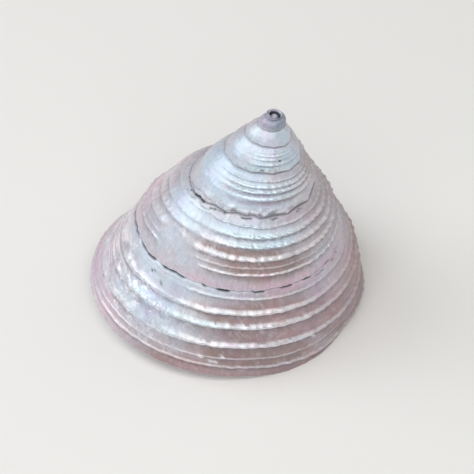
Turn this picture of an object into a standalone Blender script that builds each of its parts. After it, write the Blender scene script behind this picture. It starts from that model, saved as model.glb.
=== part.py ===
"""Polished top shell: a low conical sea snail shell in one piece, standing on its base.

The shell is one tube that coils down and clockwise from a worn tip. Every place on it is given
by a turn (0 near the front of the last whorl, -Y, and one less on each whorl above) and by a
place across the whorl, from its upper edge, the suture, to its rim. Each whorl starts on the
rim of the one above it, so the two share their vertices along the suture. Under the last whorl
is the base, with a narrow funnel at the axis. The tube is open at the lip and hollow behind it.
"""
import bpy
import bmesh
import numpy as np
from mathutils import Matrix, Vector

# Growth of the rim, the lowest and widest line of each whorl, which is slightly oval
RIM_RADIUS = 0.0255
GROWTH_PER_TURN = 0.533
GROWTH_SLOWS_AT_TURN = -0.238
GROWTH_SLOWS_OVER = 2.02
DROP_PER_RADIUS = 1.370
LATE_DROP = 0.305
OVAL = 0.017
OVAL_LONG_AT_TURN = 0.163

# Ends of the coil, in turns, and how far the growth lines slant back from suture to rim
START_TURN = -6.0
LIP_TURN = 0.46875
SLANT_TURNS = 0.125

# Vertices around: ticks in one turn, and the turns where the steps between columns grow
TICKS = 64
FINE_FROM_TURN = -1.4375
MIDDLE_FROM_TURN = -3.625

# Wall of a whorl, as fractions of its height between suture and rim
WALL_BULGE = 0.067
BULGE_LOW_BY = 1.29
GROOVE_PLACE = 0.03
GROOVE_DEPTH = 0.0003
KEEL_PLACE = 0.955
KEEL_HEIGHT = 0.0002
CORD_FOOT = 0.036

# Spiral cords: place across the third, fourth and last whorls, and height on the last one
CORDS = (
    (0.10, 0.112, 0.095, 0.00025),
    (0.21, 0.205, 0.230, 0.0005),
    (0.34, 0.330, 0.390, 0.0006),
    (0.47, 0.550, 0.590, 0.0006),
    (0.62, 0.680, 0.720, 0.0003),
    (0.78, 0.790, 0.850, 0.0004),
)
CORDS_KNOWN_AT_TURNS = (-2.0, -1.0, 0.0)
CORD_SIZE_AT_TURNS = ((-3.6, -3.0, -2.0, -1.0, 0.0), (0.0, 0.25, 0.6, 0.9, 1.0))

# Base, as fractions of the rim radius: how far in from the rim, how far up
BASE_OUTLINE = (
    (0.025, -0.022),
    (0.070, -0.034),
    (0.140, -0.030),
    (0.220, -0.036),
    (0.310, -0.022),
    (0.400, -0.018),
    (0.500, 0.000),
    (0.620, 0.018),
    (0.760, 0.048),
    (0.895, 0.100),
)
FUNNEL_OUTLINE = ((0.945, 0.170),)
FUNNEL_TOP_RISE = 0.02

# Hollow of the tube, as fractions of its section: from funnel to wall, from base to roof
HOLLOW_ACROSS = (0.16, 0.95)
HOLLOW_UP = (0.13, 0.95)
HOLLOW_CORNERS = 0.62
HOLLOW_POINTS = 16
HOLLOW_STEP_TICKS = 2
HOLLOW_TURNS = 1.125
HOLLOW_END_SIZES = (0.80, 0.45)

# Worn hole at the tip, as fractions of the first ring's radius, and its depths
HOLE_RINGS = ((0.86, 0.00015), (0.70, -0.0001), (0.58, -0.0012))
HOLE_DEPTH = 0.0018

# How it stands: the turn it faces, the lean of its axis away from the lip, the worn edge
FACING_DEGREES = -4.6
LEAN_RIGHT_DEGREES = 10.4
LEAN_BACK_DEGREES = -0.75
WORN_DEPTH = 0.0005

NACRE_COLOUR = (0.78, 0.76, 0.74, 1.0)
SHARP_EDGE_DEGREES = 50.0


def rim(turn):
    """Radius and height of the rim: growth is exponential, then slows on the last whorl."""
    turn = max(turn, START_TURN - SLANT_TURNS)
    bend = GROWTH_SLOWS_OVER
    late = np.logaddexp(0.0, bend * (turn - GROWTH_SLOWS_AT_TURN))
    at_front = np.logaddexp(0.0, -bend * GROWTH_SLOWS_AT_TURN)
    size = np.exp(GROWTH_PER_TURN * (turn - (late - at_front) / bend))
    drop = DROP_PER_RADIUS * size + LATE_DROP * size ** 4
    oval = 1.0 + OVAL * np.cos(4.0 * np.pi * (turn - OVAL_LONG_AT_TURN))
    return RIM_RADIUS * size * oval, -RIM_RADIUS * drop


def place(turn, radius, height):
    """A point around the axis. Turns run clockwise from above, from a turn 0 near the front."""
    angle = np.radians(FACING_DEGREES - 90.0) - 2.0 * np.pi * turn
    return Vector((radius * np.cos(angle), radius * np.sin(angle), height))


def wall_point(turn, across, lift):
    """A point on a whorl's wall, between the rim one turn before and the rim of this turn."""
    top_radius, top_height = rim(turn - 1.0)
    rim_radius, rim_height = rim(turn - SLANT_TURNS)
    along_radius = rim_radius - top_radius
    along_height = rim_height - top_height
    length = max(np.hypot(along_radius, along_height), 1e-6)
    out = WALL_BULGE * length * np.sin(np.pi * across ** BULGE_LOW_BY) + lift
    radius = top_radius + along_radius * across - out * along_height / length
    height = top_height + along_height * across + out * along_radius / length
    return place(turn - SLANT_TURNS * across, radius, height)


def base_place(turn, inward):
    """Radius and height on the base, this fraction in from the rim of this turn."""
    outline = ((0.0, 0.0),) + BASE_OUTLINE + FUNNEL_OUTLINE
    radius, height = rim(turn)
    rise = np.interp(inward, [point[0] for point in outline], [point[1] for point in outline])
    return radius * (1.0 - inward), height + radius * rise


def cord_rows(turn):
    """Rows across the wall at this turn, as (place, lift) pairs from suture to rim."""
    if turn < MIDDLE_FROM_TURN:
        return [(0.5, 0.0)]
    size = np.interp(turn, *CORD_SIZE_AT_TURNS)
    rows = [(GROOVE_PLACE, -GROOVE_DEPTH * size)]
    before = 0.0
    for *places, height in CORDS:
        middle = np.interp(turn, CORDS_KNOWN_AT_TURNS, places)
        if turn >= FINE_FROM_TURN:
            rows.append((middle - CORD_FOOT, 0.0))
            rows.append((middle, height * size))
            rows.append((middle + CORD_FOOT, 0.0))
        elif before > 0.0:
            rows.append((0.5 * (before + middle), 0.0))
            rows.append((middle, height * size))
        before = middle
    rows.append((KEEL_PLACE, KEEL_HEIGHT * size))
    return rows


def even_places(chain):
    """Places from 0 to 1 at even steps along a chain."""
    return np.linspace(0.0, 1.0, len(chain))


def zip_chains(mesh, first, second, first_places=None, second_places=None):
    """Fill between two chains of vertices, stepping along whichever is further behind."""
    ahead = even_places(first) if first_places is None else first_places
    beside = even_places(second) if second_places is None else second_places
    i = 0
    j = 0
    while i < len(first) - 1 or j < len(second) - 1:
        second_done = j == len(second) - 1
        first_open = i < len(first) - 1
        if second_done or (first_open and ahead[i + 1] <= beside[j + 1]):
            corners = (first[i], first[i + 1], second[j])
            i += 1
        else:
            corners = (first[i], second[j + 1], second[j])
            j += 1
        if len(set(corners)) == 3:
            mesh.faces.new(corners)


def column_step(tick):
    """Ticks between neighbouring columns: the small whorls near the tip need fewer."""
    if tick < MIDDLE_FROM_TURN * TICKS:
        return 4
    if tick < FINE_FROM_TURN * TICKS:
        return 2
    return 1


def build_whorls(mesh):
    """The coiled wall. Returns its columns by tick, and the rim's vertices by tick."""
    slant = round(SLANT_TURNS * TICKS)
    start = round(START_TURN * TICKS)
    lip = round(LIP_TURN * TICKS)
    rims = {}
    for tick in range(start - TICKS, start - slant, column_step(start)):
        rims[tick] = mesh.verts.new(place(tick / TICKS, *rim(tick / TICKS)))

    columns = {}
    places = {}
    tick = start
    while tick <= lip:
        above = tick - TICKS
        while above not in rims:
            above -= 1
        rows = cord_rows(tick / TICKS)
        rim_turn = (tick - slant) / TICKS
        rims[tick - slant] = mesh.verts.new(place(rim_turn, *rim(rim_turn)))
        wall = [mesh.verts.new(wall_point(tick / TICKS, *row)) for row in rows]
        columns[tick] = [rims[above]] + wall + [rims[tick - slant]]
        places[tick] = [0.0] + [across for across, _lift in rows] + [1.0]
        tick += column_step(tick)

    ticks = sorted(columns)
    for before, after in zip(ticks[:-1], ticks[1:]):
        zip_chains(mesh, columns[before], columns[after], places[before], places[after])
    return columns, rims


def join_rings(mesh, first, second):
    """Quads between two rings with as many vertices each."""
    for k in range(len(first)):
        after = (k + 1) % len(first)
        mesh.faces.new((first[k], first[after], second[after], second[k]))


def close_tip(mesh, columns, rims):
    """The worn tip: a rounded edge, a short hole and its floor."""
    slant = round(SLANT_TURNS * TICKS)
    start = round(START_TURN * TICKS)
    ring = [rims[tick] for tick in range(start - TICKS, start - slant, column_step(start))]
    ring += reversed(columns[start][1:])
    edge = ring
    top_height = rim(START_TURN)[1]
    for size, rise in HOLE_RINGS:
        inner = [mesh.verts.new((v.co.x * size, v.co.y * size, top_height + rise)) for v in edge]
        join_rings(mesh, ring, inner)
        ring = inner
    floor = mesh.verts.new((0.0, 0.0, top_height - HOLE_DEPTH))
    for k in range(len(ring)):
        mesh.faces.new((ring[k], ring[(k + 1) % len(ring)], floor))


def build_base(mesh, rims):
    """The base and its funnel. Returns the chain of vertices in from the rim at each end."""
    first = round((LIP_TURN - 1.0) * TICKS)
    last = round((LIP_TURN - SLANT_TURNS) * TICKS)
    first_edge = base_place(first / TICKS, BASE_OUTLINE[-1][0])
    centre = mesh.verts.new((0.0, 0.0, first_edge[1] + FUNNEL_TOP_RISE * RIM_RADIUS))
    chains = []
    for tick in range(first, last + 1):
        turn = tick / TICKS
        chain = [rims[tick]]
        for inward, _rise in BASE_OUTLINE + FUNNEL_OUTLINE:
            chain.append(mesh.verts.new(place(turn, *base_place(turn, inward))))
        chain.append(centre)
        chains.append(chain)
    for before, after in zip(chains[:-1], chains[1:]):
        zip_chains(mesh, before, after)
    return chains[0], chains[-1]


def hollow_ring(mesh, turn, size):
    """A ring of the hollow: a rounded four-sided section between the base and the roof."""
    angles = np.arange(HOLLOW_POINTS) * 2.0 * np.pi / HOLLOW_POINTS
    across = rounded_span(np.cos(angles), HOLLOW_ACROSS, size)
    up = rounded_span(np.sin(angles), HOLLOW_UP, size)
    ring = []
    for a, b in zip(across, up):
        inward = (1.0 - a) * BASE_OUTLINE[-1][0]
        floor_radius, floor_height = base_place(turn - SLANT_TURNS, inward)
        roof_radius, roof_height = base_place(turn - 1.0, inward)
        radius = floor_radius + (roof_radius - floor_radius) * b
        height = floor_height + (roof_height - floor_height) * b
        ring.append(mesh.verts.new(place(turn - SLANT_TURNS * (1.0 - b), radius, height)))
    return ring


def rounded_span(wave, span, size):
    """A cosine or sine made squarer, and fitted between two fractions of the section."""
    middle = 0.5 * (span[0] + span[1])
    half = 0.5 * (span[1] - span[0]) * size
    return middle + half * np.sign(wave) * np.abs(wave) ** HOLLOW_CORNERS


def build_hollow(mesh):
    """The inside of the tube, from the lip back to its rounded end. Returns its first ring."""
    ticks = round(HOLLOW_TURNS * TICKS)
    rings = []
    for tick in range(0, ticks + 1, HOLLOW_STEP_TICKS):
        rings.append(hollow_ring(mesh, LIP_TURN - tick / TICKS, 1.0))
    end = LIP_TURN - HOLLOW_TURNS
    for k, size in enumerate(HOLLOW_END_SIZES):
        end -= HOLLOW_STEP_TICKS / TICKS * size
        rings.append(hollow_ring(mesh, end, size))
    for before, after in zip(rings[:-1], rings[1:]):
        join_rings(mesh, before, after)
    bottom = mesh.verts.new(sum((v.co for v in rings[-1]), Vector()) / HOLLOW_POINTS)
    for k in range(HOLLOW_POINTS):
        mesh.faces.new((rings[-1][k], rings[-1][(k + 1) % HOLLOW_POINTS], bottom))
    return rings[0]


def build_lip(mesh, wall, under, over, ring):
    """The lip: four strips from the shell's outer edges to the mouth of the hollow."""
    quarter = HOLLOW_POINTS // 4
    corner = quarter // 2
    funnel = len(BASE_OUTLINE) + 1
    sides = (
        wall,
        under[:funnel],
        under[funnel - 1:] + over[funnel - 1:-1][::-1],
        over[:funnel][::-1],
    )
    for side, outer in enumerate(sides):
        start = corner - side * quarter
        inner = [ring[(start - k) % HOLLOW_POINTS] for k in range(quarter + 1)]
        zip_chains(mesh, outer, inner)


def stand_up(mesh):
    """Lean the shell as it rests, set it on the ground and wear its lowest edge flat."""
    lean_right = Matrix.Rotation(np.radians(LEAN_RIGHT_DEGREES), 4, 'Y')
    lean_back = Matrix.Rotation(-np.radians(LEAN_BACK_DEGREES), 4, 'X')
    bmesh.ops.transform(mesh, matrix=lean_back @ lean_right, verts=mesh.verts)
    corners = np.array([v.co for v in mesh.verts])
    low = corners.min(axis=0)
    high = corners.max(axis=0)
    middle = 0.5 * (low + high)
    shift = Vector((-middle[0], -middle[1], -low[2] - WORN_DEPTH))
    for vertex in mesh.verts:
        vertex.co += shift
        vertex.co.z = max(vertex.co.z, 0.0)


def nacre():
    """Polished mother of pearl."""
    material = bpy.data.materials.new("nacre")
    material.use_nodes = True
    shader = material.node_tree.nodes["Principled BSDF"]
    shader.inputs["Base Color"].default_value = NACRE_COLOUR
    shader.inputs["Roughness"].default_value = 0.28
    shader.inputs["Metallic"].default_value = 0.0
    return material


def build_shell():
    """The whole shell as one closed mesh."""
    mesh = bmesh.new()
    columns, rims = build_whorls(mesh)
    close_tip(mesh, columns, rims)
    over, under = build_base(mesh, rims)
    ring = build_hollow(mesh)
    build_lip(mesh, columns[round(LIP_TURN * TICKS)], under, over, ring)
    stand_up(mesh)
    bmesh.ops.recalc_face_normals(mesh, faces=mesh.faces)
    bmesh.ops.triangulate(mesh, faces=mesh.faces)

    data = bpy.data.meshes.new("shell")
    mesh.to_mesh(data)
    mesh.free()
    data.shade_smooth()
    data.set_sharp_from_angle(angle=np.radians(SHARP_EDGE_DEGREES))
    data.materials.append(nacre())
    shell = bpy.data.objects.new("shell", data)
    bpy.context.scene.collection.objects.link(shell)
    return shell


for leftover in list(bpy.data.objects):
    bpy.data.objects.remove(leftover, do_unlink=True)
build_shell()
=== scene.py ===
"""Polished top shell, leaning as it rests, on a pale studio floor.

The shell is one closed surface. A place on its wall is given by a turn of the coil, 0 near the
front of the last whorl and one less on each whorl above, and by a place across the whorl, from
0 at its upper edge, the suture, to 1 at its rim. Growth lines slant back from suture to rim.
"""

import bmesh
import bpy
import numpy as np
from bpy.props import FloatProperty, FloatVectorProperty, PointerProperty
from mathutils import Matrix, Vector


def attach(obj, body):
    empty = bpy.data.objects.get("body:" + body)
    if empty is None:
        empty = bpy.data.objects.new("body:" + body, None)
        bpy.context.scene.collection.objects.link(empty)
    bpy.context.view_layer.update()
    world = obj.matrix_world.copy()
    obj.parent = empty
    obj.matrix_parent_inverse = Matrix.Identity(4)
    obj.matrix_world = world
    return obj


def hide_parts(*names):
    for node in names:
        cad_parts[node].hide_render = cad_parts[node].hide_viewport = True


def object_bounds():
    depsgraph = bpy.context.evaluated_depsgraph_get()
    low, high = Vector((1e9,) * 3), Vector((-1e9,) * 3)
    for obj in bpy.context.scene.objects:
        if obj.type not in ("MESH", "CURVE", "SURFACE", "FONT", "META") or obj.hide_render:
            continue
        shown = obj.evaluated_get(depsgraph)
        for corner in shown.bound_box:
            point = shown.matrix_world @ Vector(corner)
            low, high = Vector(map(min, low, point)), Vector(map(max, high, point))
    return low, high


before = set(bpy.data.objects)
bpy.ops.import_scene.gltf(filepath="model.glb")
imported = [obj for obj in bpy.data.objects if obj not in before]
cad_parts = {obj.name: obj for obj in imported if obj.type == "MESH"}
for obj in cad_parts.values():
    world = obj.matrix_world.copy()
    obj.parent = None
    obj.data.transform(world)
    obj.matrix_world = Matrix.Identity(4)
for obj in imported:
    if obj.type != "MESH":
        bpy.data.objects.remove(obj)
CAD_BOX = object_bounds()

bl_info = {
    "name": "Top shell",
    "version": (1, 0, 0),
    "blender": (4, 5, 0),
    "location": "3D View > Sidebar > Top shell",
    "description": "Models a polished top shell and a pale studio around it",
    "category": "Mesh",
}

MM = 0.001

# Growth of the rim: see rim()
RIM_SHARE_OF_WIDTH = 0.494
GROWTH_PER_TURN = 0.533
GROWTH_SLOWS_AT = -0.238
GROWTH_SLOWS_OVER = 2.02
DROP_PER_RADIUS = 1.370
LATE_DROP = 0.305
OVAL = 0.017
OVAL_LONG_AT = 0.163

# Zones of the coil: last tick, ticks between columns. A turn has TICKS ticks.
TICKS = 512
ZONES = ((-2304, 8), (-1792, 4), (-1280, 2), (-640, 2), (240, 1))

# Ends of the coil, in turns, how far the growth lines slant back, and where turn 0 faces
START_TURN = -6.0
LIP_TURN = 0.46875
SLANT = 0.125
SLANT_TICKS = round(SLANT * TICKS)
FACING = np.radians(-4.6)

# Rows across the wall. Plain whorls have even rows below the suture; on the others a zone says
# how many rows go before, up and down each cord.
PLAIN_ROWS = {0: 5, 1: 12, 2: 40}
CORD_ROWS = {3: (2, 2, 2), 4: (2, 3, 2)}
SHOULDER_ROWS = {3: 2, 4: 4}
SUTURE_ROWS = (0.08 * MM, 0.18 * MM, 0.32 * MM, 0.55 * MM)
RIM_ROWS = (0.30 * MM, 0.12 * MM)
KEEL_PLACE = 0.955
ROW_STEP = 0.0001

# Spiral cords: places across the wall at the turns of CORDS_KNOWN_AT, height, reach up and down.
# Reaches are fractions of the longest wall, and widen on shorter ones. The main cords come first.
# CORD_AZIMUTHS are usual places of the cords, which say how far a growth line has slanted back.
CORDS_KNOWN_AT = (-3.0, -2.15, -2.0, -1.9, -1.2, -1.0, -0.9, -0.28, -0.15, 0.0, 0.2)
CORDS = (
    ((0.29, 0.26, 0.225, 0.21, 0.17, 0.155, 0.12, 0.175, 0.14, 0.098, 0.1), 0.34 * MM, 0.022, 0.011),
    ((0.43, 0.405, 0.372, 0.355, 0.325, 0.295, 0.285, 0.355, 0.292, 0.265, 0.28), 0.6 * MM, 0.05, 0.016),
    ((0.575, 0.53, 0.487, 0.475, 0.495, 0.425, 0.42, 0.508, 0.452, 0.415, 0.45), 0.66 * MM, 0.052, 0.016),
    ((0.775, 0.69, 0.65, 0.63, 0.66, 0.6, 0.58, 0.725, 0.667, 0.625, 0.675), 0.66 * MM, 0.05, 0.016),
    ((0.88, 0.82, 0.8, 0.77, 0.77, 0.705, 0.69, 0.87, 0.805, 0.77, 0.8), 0.16 * MM, 0.014, 0.012),
    ((0.85, 0.92, 0.91, 0.89, 0.86, 0.8, 0.775, 0.925, 0.92, 0.875, 0.88), 0.46 * MM, 0.022, 0.013),
)
CORD_AZIMUTHS = (0.12, 0.30, 0.44, 0.64, 0.77, 0.88)
MAIN_CORDS = 4
CORDS_START_AT = (-3.5, -2.6)
LOW_CORDS_START_AT = (-1.9, -1.4)
CORD_RISE_POWER = 1.05
CORD_FALL_POWER = 1.6
MOST_WIDENED = 2.2
BROAD_FROM = (-1.6, -1.2)
LATE_FROM = (-0.9, -0.6)
NARROWED_AT_RIGHT = 0.45
FLATTENED_AT_LEFT = 0.40
LOW_CORDS_FLATTENED = 0.3
FULL_LENGTH = 22.0 * MM

# Painted highlight on the cords' upper flanks, as shares of their rise and fall, and the painted
# shade below, as shares of the reach down: where it is, its own reach, its strength
FULL_CREST_HEIGHT = 0.5 * MM
FLANK_EDGE = (0.14, 0.28)
FLANK_FULL = (0.35, 0.85)
CREST_EDGE = (0.35, 0.80)
# Painted highlight dims at each whorl's right, where less light falls, and at its left, on low cords
DIM_AT_RIGHT = 0.30
LATE_DIM_AT_RIGHT = 0.15
DIM_AT_LEFT = 0.50
LOWEST_CREST_DIMS = 0.4
LOWEST_CREST_DIMS_FROM = (-0.5, -0.3)
SHADE_PLACE = 1.25
SHADE_REACH = 0.8
SHADE_STRENGTH = 0.85
SHADE_WEAKER_AT_LEFT = 0.25

# Sides of each whorl, as parts of a turn from its front: start, full, fades, ends
RIGHT_SIDE = (0.06, 0.16, 0.36, 0.48)
LEFT_SIDE = (0.08, 0.20, 0.42, 0.56)

# Beads on the cords: their pace, how they wander, and their strength at each side
BEADS_PER_TURN = 78.0
BEAD_GROWTH = 0.26
BEAD_WANDER = 2.6
BEAD_STEP_TO_NEXT_CORD = 1.7
BEAD_STRENGTH = 0.45
BEAD_UNEVENNESS = 0.35
BEADS_AT_RIGHT = 0.34
EARLY_BEADS_AT_RIGHT = 0.14
BEADS_WEAKER_AT_LEFT = 0.6
LATE_BEADS_WEAKER = 0.45
LATE_BEADS_FROM = (-0.6, -0.3)
EARLY_BEADS_END = (-0.9, -0.5)
BEAD_SWAY_LEAD = 0.9
# Share of the sine, of the coarse noise and of the fine noise
BEAD_RISES = (0.30, 0.20, 0.18)
BEAD_SWAYS = (0.0050, 0.0055, 0.0050)
# Steps in a turn and seed of the wander, the strength, the coarse noise and the fine noise
BEAD_NOISES = ((21.0, 31), (11.0, 34), (46.0, 32), (170.0, 33))

WALL_BULGE = 0.067
BULGE_LOW_BY = 1.29
TIP_BULGE = 0.16
TIP_RISE = 0.70 * MM
TIP_WIDER = 0.02 * MM
TIP_REACH = 0.50

# Raised band above the rim around turn -2: height, place, reach across, turns
BAND_HEIGHT = 0.35 * MM
BAND_PLACE = 0.93
BAND_REACH = 0.10
BAND_TURNS = (-2.6, -2.2, -1.7, -1.5)

# Swells and dents of the wall: turn, place, reach in turns, reach across, height in mm
SWELLS = (
    (-2.57, 0.72, 0.12, 0.4, -0.5), (-1.57, 0.75, 0.12, 0.45, -1.7),
    (-0.6, 0.55, 0.12, 0.35, -0.8), (-0.6, 0.2, 0.08, 0.16, 0.6),
    (0.395, 0.46, 0.13, 0.34, -2.05), (-2.25, 0.68, 0.13, 0.35, -0.65),
    (-1.29, 0.45, 0.1, 0.3, -0.4), (-0.265, 0.42, 0.12, 0.25, 0.45),
    (-0.13, 0.92, 0.06, 0.16, 0.6), (-0.06, 1.0, 0.03, 0.2, -0.6),
    (0.25, 0.95, 0.05, 0.2, 0.4),
)

# Corners that make early rims polygons, and chipped rims: turn of the rim, reach, shift down in mm
CORNERS_PER_TURN = 12.0
CORNERS_CLOSER_FROM = -2.7
CORNER_SAGITTA = 0.047
CORNER_TURNS = (-5.3, -4.3, -2.0, -1.85)
RIM_SHIFTS = (
    (-0.12, 0.06, 0.9), (-1.22, 0.13, 1.3), (-1.0, 0.08, 0.25), (-0.9, 0.05, -0.3),
    (-0.78, 0.03, -0.6), (-1.955, 0.018, -0.5), (-2.0, 0.015, -0.45), (-1.9, 0.02, -0.4),
    (-1.85, 0.015, -0.15), (-2.08, 0.16, 0.4), (-2.2, 0.06, 0.4), (-3.12, 0.12, 0.5),
    (-3.22, 0.09, 0.75), (-2.91, 0.06, 0.28), (-4.1, 0.15, 0.2), (-4.2, 0.12, 0.65),
)

# Turns of the jagged rims. Jags, roughness and, further down, ragged edges are sums of noise:
# height, here in mm, steps in a turn, steps across the wall, seed.
JAG_TURNS = (-2.0, -1.8, -0.1, 0.0)
JAGS_OUT = ((0.10, 95.0, 0.5, 11), (0.10, 230.0, 2.5, 12))
JAGS_DOWN = ((0.12, 70.0, 4.5, 13), (0.10, 170.0, 6.5, 14))
EDGE_FALL = 0.35
ROUGHNESS = ((0.14, 13.0, 2.6, 51), (0.07, 37.0, 7.0, 52), (0.030, 150.0, 22.0, 53))
SCALE_BUMP = 0.13

# Worn smooth places: turn, place, reach in turns, reach across, strength
WORN_PATCHES = (
    (-0.79, 0.74, 0.042, 0.27, 1.0), (-0.82, 0.2, 0.08, 0.26, 0.75),
    (0.135, 0.13, 0.065, 0.11, 0.85), (-1.7, 0.55, 0.15, 0.7, 0.9),
    (-2.72, 0.55, 0.2, 0.7, 0.9), (-0.56, 0.5, 0.06, 0.25, 0.5),
)
WORN_EDGES = (0.75, 1.35)
WORN_RAG = ((0.25, 60.0, 9.0, 21),)

# Dark gaps in the sutures: turn of the whorl below, reach in turns. Their ends are in reaches.
SUTURE_GAPS = (
    (0.235, 0.034), (0.165, 0.022), (0.106, 0.022), (0.054, 0.004), (0.024, 0.01), (-0.031, 0.01),
    (-0.079, 0.011), (-0.117, 0.008), (-0.168, 0.006), (-0.42, 0.03), (0.4, 0.03), (-0.845, 0.024),
)
GAP_ENDS = (0.7, 1.2)
# The fainter opening above the last whorl: how wide, its turns, and how it widens at the fronts
FAINT_GAP = 0.45
FAINT_GAP_ENDS = (-0.50, -0.30)
FAINT_GAP_ALL_ROUND_FROM = (-1.6, -1.4)
FAINT_GAP_BEHIND = 0.25
FAINT_GAP_FRONT = -0.02
FAINT_GAP_REACH = 0.17
# The groove, in mm on a long wall: shut, and how much more where it gapes
GROOVE = {"depth": (0.20, 0.45), "middle": (0.15, 0.10), "width": (0.11, 0.10)}

# Cracks as lines of points (turn, place), with depth and half width
CRACKS = (
    (((-1.67, 0.97), (-1.693, 0.96), (-1.727, 0.9), (-1.746, 0.915), (-1.764, 0.935), (-1.79, 0.95),
      (-1.808, 0.95), (-1.829, 0.975), (-1.9, 0.985)), 0.14 * MM, 0.08 * MM),
    (((-0.79, 0.075), (-0.802, 0.085), (-0.826, 0.07), (-0.852, 0.055), (-0.87, 0.095), (-0.885, 0.085)),
     0.12 * MM, 0.08 * MM),
    (((-0.806, 0.045), (-0.818, 0.02), (-0.83, 0.006)), 0.28 * MM, 0.1 * MM),
    (((-0.884, 0.06), (-0.897, 0.05), (-0.915, 0.025), (-0.928, 0.035)), 0.26 * MM, 0.09 * MM),
    (((-0.966, 0.052), (-0.976, 0.046), (-0.988, 0.05)), 0.24 * MM, 0.11 * MM),
    (((-1.038, 0.054), (-1.048, 0.058), (-1.06, 0.052)), 0.24 * MM, 0.11 * MM),
    (((-1.114, 0.068), (-1.131, 0.06)), 0.2 * MM, 0.1 * MM),
    (((-0.13, 0.05), (-0.142, 0.062), (-0.152, 0.058)), 0.16 * MM, 0.09 * MM),
    (((-0.176, 0.062), (-0.19, 0.075), (-0.198, 0.07)), 0.18 * MM, 0.09 * MM),
)
CRACK_WANDER = ((0.10 * MM, 260.0, 60.0, 44),)
FULL_DARKNESS_DEPTH = 0.25 * MM

# Pits: turn, place, reach in turns, reach across, depth
PITS = (
    (-2.995, 0.645, 0.008, 0.036, 0.34 * MM),
    (0.15, 0.125, 0.0018, 0.01, 0.28 * MM),
    (0.144, 0.113, 0.0014, 0.012, 0.28 * MM),
    (0.134, 0.181, 0.0024, 0.01, 0.28 * MM),
)

# White chips standing out of the surface: turn, place, reach in turns, reach across
CHIPS = (
    (0.031, 0.894, 0.004, 0.018), (0.124, 0.78, 0.0045, 0.02), (0.112, 0.822, 0.005, 0.022),
    (0.095, 0.76, 0.003, 0.012), (-0.03, 0.69, 0.0022, 0.01),
)
CHIP_HEIGHT = 0.07 * MM
CHIP_EDGES = (0.5, 1.1)
CHIP_RAG = ((0.5, 400.0, 90.0, 45),)

# The scaly part of the last whorl: turn, place, reach in turns, reach across. The rest has few.
SCALY_PART = (0.27, 0.42, 0.17, 0.42)
SCALY_EDGES = (0.55, 1.15)
SCALY_RAG = ((0.25, 30.0, 5.0, 56),)
SCALES_ELSEWHERE = 0.16

# White edges above two rims: turn of the rim and reach in turns; where they begin and end
HEMS = ((-1.995, 0.105), (-3.0, 0.08))
HEM_FROM = 0.82
HEM_SOFTNESS = 0.03
HEM_ENDS = (0.965, 0.985)

# Tints of the surface, partly painted light and shade: turn, place, reach in turns, reach across,
# strength
TINTS = {
    # Painted shade and dim reflection: tan bands between the cords at the front and the right
    "warm": (
        (-0.01, 0.42, 0.13, 0.42, 1.0), (0.05, 0.74, 0.1, 0.26, 1.0),
        (0.09, 0.97, 0.17, 0.2, 1.0), (0.11, 0.735, 0.07, 0.035, 0.6),
        (-0.2, 0.68, 0.14, 0.45, 1.0), (-0.1, 0.74, 0.09, 0.45, 0.95),
        (-0.95, 0.7, 0.1, 0.3, 0.9), (-0.93, 0.5, 0.11, 0.06, 1.0),
        (-0.7, 0.6, 0.07, 0.4, 0.35), (-1.18, 0.55, 0.14, 0.6, 0.4),
        (-1.93, 0.725, 0.12, 0.06, 0.7), (-1.93, 0.55, 0.11, 0.045, 0.55),
        (-2.2, 0.55, 0.1, 0.6, 0.35),
    ),
    # Pinkish pearl tone, partly painted reflection at the whorls' left and near the rims
    "pink": (
        (0.31, 0.4, 0.09, 0.5, 0.6), (0.34, 0.8, 0.12, 0.3, 0.8),
        (-0.64, 0.6, 0.06, 0.5, 0.9), (-0.02, 0.98, 0.25, 0.12, 0.2),
        (0.12, 0.95, 0.08, 0.06, 0.35), (-0.1, 0.5, 0.16, 0.4, 0.4),
        (-0.93, 0.98, 0.2, 0.08, 0.9), (-0.16, 0.04, 0.14, 0.08, 0.7),
    ),
    # Painted reflection of the sky: cold white where the upper whorls and the left face up
    "cool": (
        (-0.98, 0.3, 0.13, 0.22, 0.9), (-0.84, 0.24, 0.1, 0.22, 0.75),
        (-0.78, 0.72, 0.07, 0.25, 0.35), (-1.86, 0.4, 0.21, 0.6, 0.85),
        (-2.93, 0.5, 0.24, 0.9, 0.95), (-3.95, 0.5, 0.3, 0.9, 0.8),
        (0.1, 0.08, 0.12, 0.16, 0.62), (0.18, 0.56, 0.08, 0.12, 0.6),
        (0.13, 0.37, 0.09, 0.14, 0.9),
    ),
    # Grey-blue tone of the tip, and painted shade in the grooves below the upper whorls' cords
    "slate": (
        (-5.4, 0.5, 0.8, 1.5, 1.0), (-0.96, 0.345, 0.07, 0.018, 0.5),
        (0.15, 0.52, 0.07, 0.02, 0.3), (-1.97, 0.26, 0.12, 0.018, 0.25),
        (-1.95, 0.395, 0.12, 0.018, 0.15), (-1.94, 0.55, 0.13, 0.04, 0.5),
        (-1.92, 0.725, 0.12, 0.055, 0.3), (-1.98, 0.08, 0.14, 0.06, 0.25),
        (-1.9, 0.9, 0.14, 0.06, 0.3), (-1.74, 0.4, 0.09, 0.5, 0.15),
        (-2.74, 0.5, 0.12, 0.6, 0.15), (-0.74, 0.35, 0.07, 0.3, 0.15),
        (-2.9, 0.81, 0.07, 0.03, 1.0), (-2.94, 0.45, 0.08, 0.02, 0.45),
        (-2.93, 0.6, 0.06, 0.02, 0.45),
    ),
    # Painted shade: tan, not white, tops of the cords at each whorl's right, where less light falls
    "cream": (
        (-0.22, 0.6, 0.14, 1.0, 1.0), (-1.25, 0.5, 0.12, 1.0, 1.0),
        (-2.22, 0.5, 0.11, 1.0, 0.8),
    ),
}
# Share of painted tan shade at the back of each whorl
TAN_SHADE_BACK = 0.45

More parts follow.
